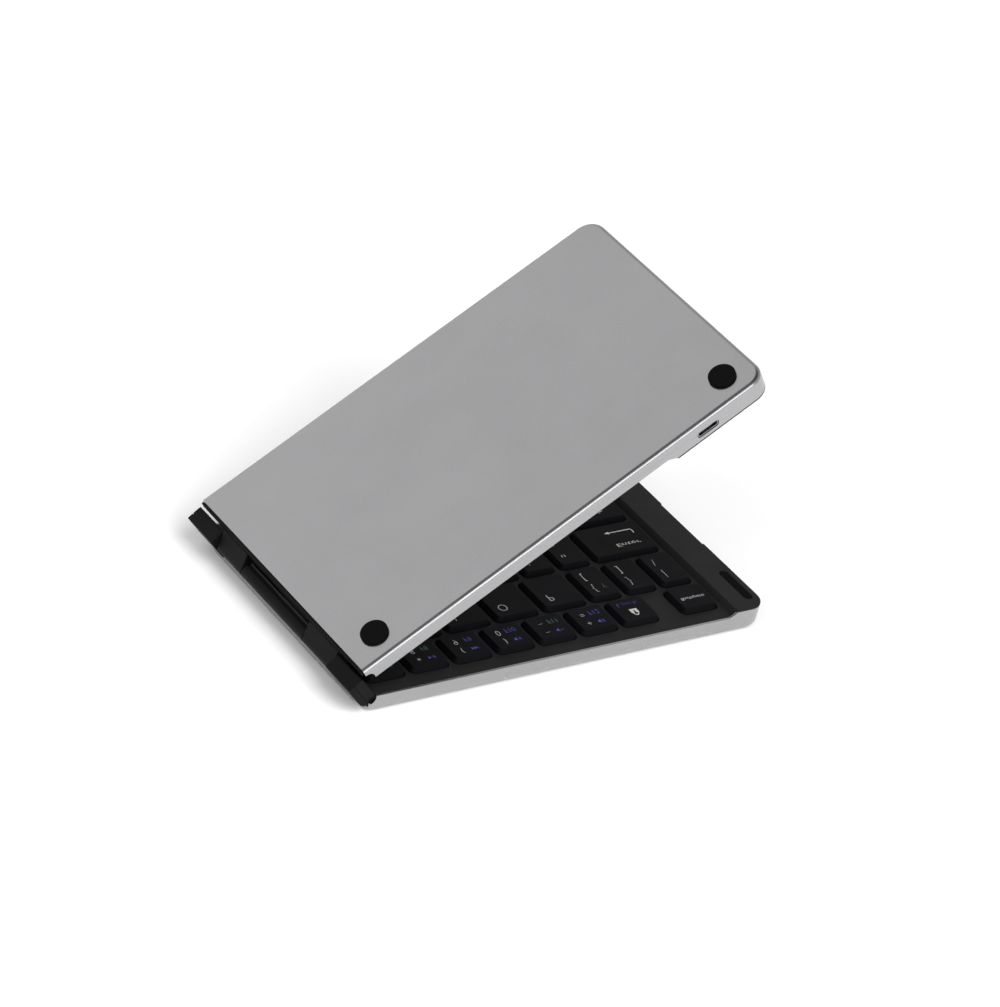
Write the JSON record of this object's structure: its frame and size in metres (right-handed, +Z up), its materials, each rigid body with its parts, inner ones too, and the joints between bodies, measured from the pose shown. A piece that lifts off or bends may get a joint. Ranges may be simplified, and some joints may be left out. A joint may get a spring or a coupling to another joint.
{
  "type": "folding keyboard",
  "caption": "Slim wireless keyboard in two metal halves that fold face to face on a barrel hinge, with pressable low-profile keys.",
  "frame": {"origin": "centre of the part's outline at the level of the feet's undersides, at rest with the lid raised", "axes": "+Z up, +X from the hinge towards the base's outer end, Y along the hinge with the number row at -Y"},
  "size_m": [0.1518, 0.088, 0.0945],
  "materials": {
    "anodised_shell": "fine blasted, anodised silver grey",
    "black_deck": "fine matte texture",
    "black_hinge": "smooth matte",
    "key_plastic": "satin with printed legends",
    "steel": "bare",
    "membrane_film": "clear film",
    "dome_rubber": "translucent silicone",
    "foot_rubber": "matte",
    "cable_jacket": "matte",
    "battery_foil": "foil pouch",
    "board": "solder mask"
  },
  "bodies": {
    "base": {"base_shell": "anodised_shell", "base_deck": "black_deck", "base_plate": "steel", "base_membrane": "membrane_film", "base_domes": "dome_rubber", "base_feet": "foot_rubber", "base_screws": "steel", "base_magnets": "steel", "end_pads": "foot_rubber", "base_hinge": "black_hinge", "hinge_blocks": "black_hinge", "hinge_pins": "steel", "hinge_cable": "cable_jacket"},
    "lid": {"lid_shell": "anodised_shell", "lid_deck": "black_deck", "lid_plate": "steel", "lid_membrane": "membrane_film", "lid_domes": "dome_rubber", "lid_feet": "foot_rubber", "lid_screws": "steel", "lid_magnets": "steel", "lid_hinge": "black_hinge", "battery": "battery_foil", "main_board": "board", "usb_socket": "steel"},
    "key_7": {"key_7": "key_plastic"},
    "key_8": {"key_8": "key_plastic"},
    "key_9": {"key_9": "key_plastic"},
    "key_0": {"key_0": "key_plastic"},
    "key_minus": {"key_minus": "key_plastic"},
    "key_equals": {"key_equals": "key_plastic"},
    "key_lock": {"key_lock": "key_plastic"},
    "key_backspace": {"key_backspace": "key_plastic"},
    "key_y": {"key_y": "key_plastic"},
    "key_u": {"key_u": "key_plastic"},
    "key_i": {"key_i": "key_plastic"},
    "key_o": {"key_o": "key_plastic"},
    "key_p": {"key_p": "key_plastic"},
    "key_left_bracket": {"key_left_bracket": "key_plastic"},
    "key_right_bracket": {"key_right_bracket": "key_plastic"},
    "key_backslash": {"key_backslash": "key_plastic"},
    "key_h": {"key_h": "key_plastic"},
    "key_j": {"key_j": "key_plastic"},
    "key_k": {"key_k": "key_plastic"},
    "key_l": {"key_l": "key_plastic"},
    "key_semicolon": {"key_semicolon": "key_plastic"},
    "key_quote": {"key_quote": "key_plastic"},
    "key_enter": {"key_enter": "key_plastic"},
    "key_n": {"key_n": "key_plastic"},
    "key_m": {"key_m": "key_plastic"},
    "key_comma": {"key_comma": "key_plastic"},
    "key_period": {"key_period": "key_plastic"},
    "key_slash": {"key_slash": "key_plastic"},
    "key_shift": {"key_shift": "key_plastic"},
    "base_keys_space_row": {"base_keys_space_row": "key_plastic"},
    "lid_keys_number_row": {"lid_keys_number_row": "key_plastic"},
    "lid_keys_tab_row": {"lid_keys_tab_row": "key_plastic"},
    "lid_keys_caps_row": {"lid_keys_caps_row": "key_plastic"},
    "lid_keys_shift_row": {"lid_keys_shift_row": "key_plastic"},
    "lid_keys_space_row": {"lid_keys_space_row": "key_plastic"}
  },
  "joints": [
    {"name": "lid_hinge", "type": "hinge", "parent": "base", "child": "lid", "pos_m": [-0.07132, 0, 0.0081], "axis": [0, -1, 0], "range_deg": [-33.4, 146.6]},
    {"name": "key_7_press", "type": "slide", "parent": "base", "child": "key_7", "axis": [0, 0, -1], "range_m": [0, 0.0013], "stiffness_N_per_m": 150, "springref_m": -0.0002},
    {"name": "key_8_press", "type": "slide", "parent": "base", "child": "key_8", "axis": [0, 0, -1], "range_m": [0, 0.0013], "stiffness_N_per_m": 150, "springref_m": -0.0002},
    {"name": "key_9_press", "type": "slide", "parent": "base", "child": "key_9", "axis": [0, 0, -1], "range_m": [0, 0.0013], "stiffness_N_per_m": 150, "springref_m": -0.0002},
    {"name": "key_0_press", "type": "slide", "parent": "base", "child": "key_0", "axis": [0, 0, -1], "range_m": [0, 0.0013], "stiffness_N_per_m": 150, "springref_m": -0.0002},
    {"name": "key_minus_press", "type": "slide", "parent": "base", "child": "key_minus", "axis": [0, 0, -1], "range_m": [0, 0.0013], "stiffness_N_per_m": 150, "springref_m": -0.0002},
    {"name": "key_equals_press", "type": "slide", "parent": "base", "child": "key_equals", "axis": [0, 0, -1], "range_m": [0, 0.0013], "stiffness_N_per_m": 150, "springref_m": -0.0002},
    {"name": "key_lock_press", "type": "slide", "parent": "base", "child": "key_lock", "axis": [0, 0, -1], "range_m": [0, 0.0013], "stiffness_N_per_m": 150, "springref_m": -0.0002},
    {"name": "key_backspace_press", "type": "slide", "parent": "base", "child": "key_backspace", "axis": [0, 0, -1], "range_m": [0, 0.0013], "stiffness_N_per_m": 150, "springref_m": -0.0002},
    {"name": "key_y_press", "type": "slide", "parent": "base", "child": "key_y", "axis": [0, 0, -1], "range_m": [0, 0.0013], "stiffness_N_per_m": 150, "springref_m": -0.0002},
    {"name": "key_u_press", "type": "slide", "parent": "base", "child": "key_u", "axis": [0, 0, -1], "range_m": [0, 0.0013], "stiffness_N_per_m": 150, "springref_m": -0.0002},
    {"name": "key_i_press", "type": "slide", "parent": "base", "child": "key_i", "axis": [0, 0, -1], "range_m": [0, 0.0013], "stiffness_N_per_m": 150, "springref_m": -0.0002},
    {"name": "key_o_press", "type": "slide", "parent": "base", "child": "key_o", "axis": [0, 0, -1], "range_m": [0, 0.0013], "stiffness_N_per_m": 150, "springref_m": -0.0002},
    {"name": "key_p_press", "type": "slide", "parent": "base", "child": "key_p", "axis": [0, 0, -1], "range_m": [0, 0.0013], "stiffness_N_per_m": 150, "springref_m": -0.0002},
    {"name": "key_left_bracket_press", "type": "slide", "parent": "base", "child": "key_left_bracket", "axis": [0, 0, -1], "range_m": [0, 0.0013], "stiffness_N_per_m": 150, "springref_m": -0.0002},
    {"name": "key_right_bracket_press", "type": "slide", "parent": "base", "child": "key_right_bracket", "axis": [0, 0, -1], "range_m": [0, 0.0013], "stiffness_N_per_m": 150, "springref_m": -0.0002},
    {"name": "key_backslash_press", "type": "slide", "parent": "base", "child": "key_backslash", "axis": [0, 0, -1], "range_m": [0, 0.0013], "stiffness_N_per_m": 150, "springref_m": -0.0002},
    {"name": "key_h_press", "type": "slide", "parent": "base", "child": "key_h", "axis": [0, 0, -1], "range_m": [0, 0.0013], "stiffness_N_per_m": 150, "springref_m": -0.0002},
    {"name": "key_j_press", "type": "slide", "parent": "base", "child": "key_j", "axis": [0, 0, -1], "range_m": [0, 0.0013], "stiffness_N_per_m": 150, "springref_m": -0.0002},
    {"name": "key_k_press", "type": "slide", "parent": "base", "child": "key_k", "axis": [0, 0, -1], "range_m": [0, 0.0013], "stiffness_N_per_m": 150, "springref_m": -0.0002},
    {"name": "key_l_press", "type": "slide", "parent": "base", "child": "key_l", "axis": [0, 0, -1], "range_m": [0, 0.0013], "stiffness_N_per_m": 150, "springref_m": -0.0002},
    {"name": "key_semicolon_press", "type": "slide", "parent": "base", "child": "key_semicolon", "axis": [0, 0, -1], "range_m": [0, 0.0013], "stiffness_N_per_m": 150, "springref_m": -0.0002},
    {"name": "key_quote_press", "type": "slide", "parent": "base", "child": "key_quote", "axis": [0, 0, -1], "range_m": [0, 0.0013], "stiffness_N_per_m": 150, "springref_m": -0.0002},
    {"name": "key_enter_press", "type": "slide", "parent": "base", "child": "key_enter", "axis": [0, 0, -1], "range_m": [0, 0.0013], "stiffness_N_per_m": 150, "springref_m": -0.0002},
    {"name": "key_n_press", "type": "slide", "parent": "base", "child": "key_n", "axis": [0, 0, -1], "range_m": [0, 0.0013], "stiffness_N_per_m": 150, "springref_m": -0.0002},
    {"name": "key_m_press", "type": "slide", "parent": "base", "child": "key_m", "axis": [0, 0, -1], "range_m": [0, 0.0013], "stiffness_N_per_m": 150, "springref_m": -0.0002},
    {"name": "key_comma_press", "type": "slide", "parent": "base", "child": "key_comma", "axis": [0, 0, -1], "range_m": [0, 0.0013], "stiffness_N_per_m": 150, "springref_m": -0.0002},
    {"name": "key_period_press", "type": "slide", "parent": "base", "child": "key_period", "axis": [0, 0, -1], "range_m": [0, 0.0013], "stiffness_N_per_m": 150, "springref_m": -0.0002},
    {"name": "key_slash_press", "type": "slide", "parent": "base", "child": "key_slash", "axis": [0, 0, -1], "range_m": [0, 0.0013], "stiffness_N_per_m": 150, "springref_m": -0.0002},
    {"name": "key_shift_press", "type": "slide", "parent": "base", "child": "key_shift", "axis": [0, 0, -1], "range_m": [0, 0.0013], "stiffness_N_per_m": 150, "springref_m": -0.0002},
    {"name": "base_keys_space_row_press", "type": "slide", "parent": "base", "child": "base_keys_space_row", "axis": [0, 0, -1], "range_m": [0, 0.0013], "stiffness_N_per_m": 150, "springref_m": -0.0002},
    {"name": "lid_keys_number_row_press", "type": "slide", "parent": "lid", "child": "lid_keys_number_row", "axis": [-0.5505, 0, 0.8348], "range_m": [0, 0.0013], "stiffness_N_per_m": 150, "springref_m": -0.0002},
    {"name": "lid_keys_tab_row_press", "type": "slide", "parent": "lid", "child": "lid_keys_tab_row", "axis": [-0.5505, 0, 0.8348], "range_m": [0, 0.0013], "stiffness_N_per_m": 150, "springref_m": -0.0002},
    {"name": "lid_keys_caps_row_press", "type": "slide", "parent": "lid", "child": "lid_keys_caps_row", "axis": [-0.5505, 0, 0.8348], "range_m": [0, 0.0013], "stiffness_N_per_m": 150, "springref_m": -0.0002},
    {"name": "lid_keys_shift_row_press", "type": "slide", "parent": "lid", "child": "lid_keys_shift_row", "axis": [-0.5505, 0, 0.8348], "range_m": [0, 0.0013], "stiffness_N_per_m": 150, "springref_m": -0.0002},
    {"name": "lid_keys_space_row_press", "type": "slide", "parent": "lid", "child": "lid_keys_space_row", "axis": [-0.5505, 0, 0.8348], "range_m": [0, 0.0013], "stiffness_N_per_m": 150, "springref_m": -0.0002}
  ]
}
